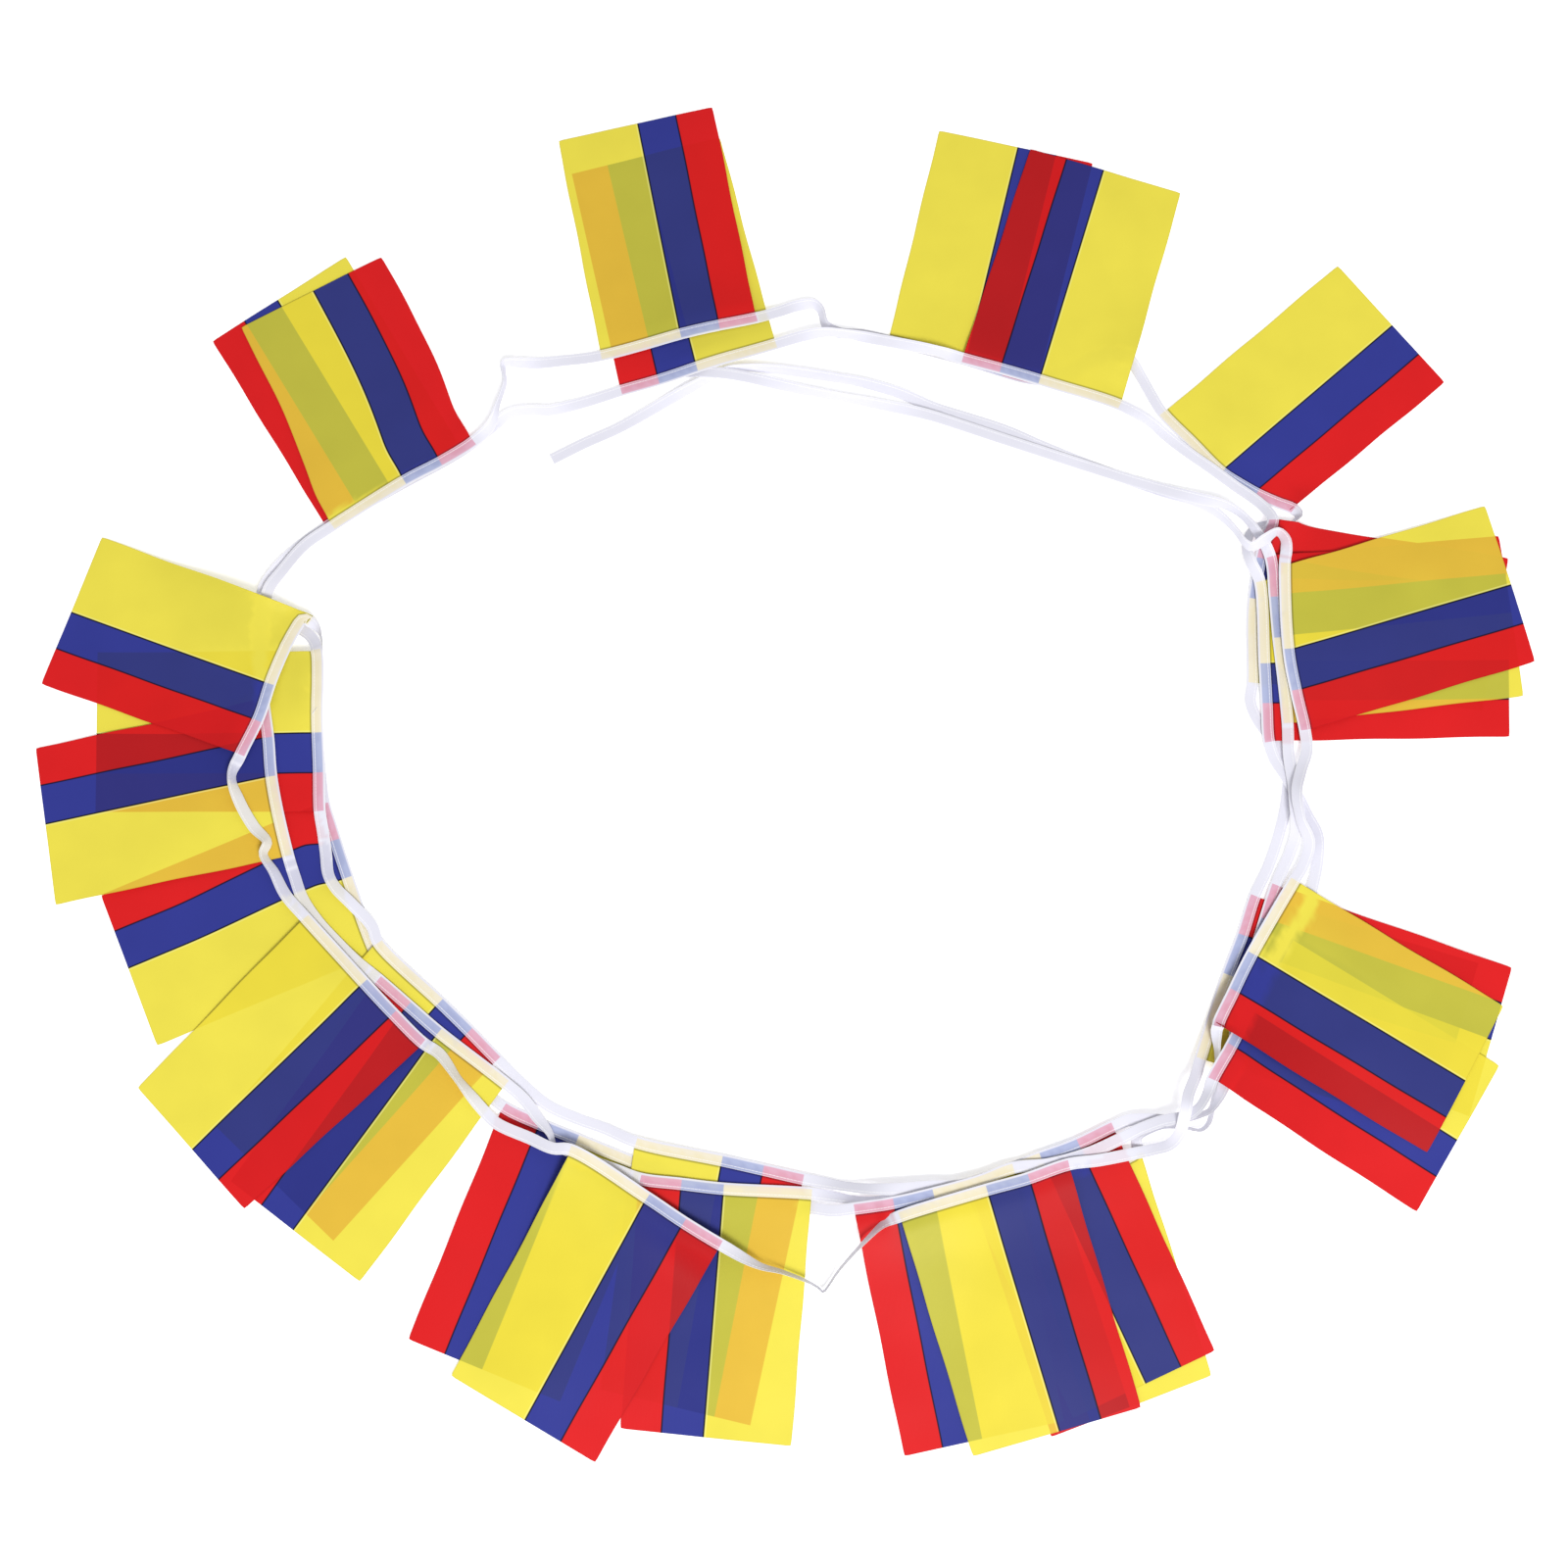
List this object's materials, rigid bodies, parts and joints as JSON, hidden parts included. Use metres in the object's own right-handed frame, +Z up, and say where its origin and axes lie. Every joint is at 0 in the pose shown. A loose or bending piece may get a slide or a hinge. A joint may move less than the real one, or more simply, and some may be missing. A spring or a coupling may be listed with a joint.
{
  "type": "string of flag bunting",
  "caption": "String of rectangular three-band cloth flags sewn into a folded white tape, laid in a loose double loop.",
  "frame": {"origin": "centre of the bounding box, on the surface that the string lies on", "axes": "+X to the right and +Y away from the viewer as the loop is seen from above, +Z up"},
  "size_m": [1.287, 1.1744, 0.0294],
  "materials": {
    "flag_cloth": "thin satin polyester printed in three bands, yellow over half the width, then blue and red, slightly sheer",
    "tape": "thin white ribbon tape folded in two, slightly sheer, with close white stitching"
  },
  "bodies": {
    "root": {"flag_01": "flag_cloth", "tape_01": "tape", "flag_02": "flag_cloth", "tape_02": "tape", "flag_03": "flag_cloth", "tape_03": "tape", "flag_04": "flag_cloth", "tape_04": "tape", "flag_05": "flag_cloth", "tape_05": "tape", "flag_06": "flag_cloth", "tape_06": "tape", "flag_07": "flag_cloth", "tape_07": "tape", "flag_08": "flag_cloth", "tape_08": "tape", "flag_09": "flag_cloth", "tape_09": "tape", "flag_10": "flag_cloth", "tape_10": "tape", "flag_11": "flag_cloth", "tape_11": "tape", "flag_12": "flag_cloth", "tape_12": "tape", "flag_13": "flag_cloth", "tape_13": "tape", "flag_14": "flag_cloth", "tape_14": "tape", "flag_15": "flag_cloth", "tape_15": "tape", "flag_16": "flag_cloth", "tape_16": "tape", "flag_17": "flag_cloth", "tape_17": "tape", "flag_18": "flag_cloth", "tape_18": "tape", "flag_19": "flag_cloth", "tape_19": "tape", "flag_20": "flag_cloth", "tape_20": "tape", "flag_21": "flag_cloth", "tape_21": "tape", "flag_22": "flag_cloth", "tape_22": "tape", "flag_23": "flag_cloth", "tape_23": "tape", "flag_24": "flag_cloth", "tape_24": "tape", "flag_25": "flag_cloth", "tape_25": "tape", "flag_26": "flag_cloth", "tape_26": "tape", "flag_27": "flag_cloth", "tape_27": "tape", "flag_28": "flag_cloth", "tape_28": "tape", "flag_29": "flag_cloth", "tape_29": "tape", "flag_30": "flag_cloth", "tape_30": "tape"}
  },
  "joints": []
}
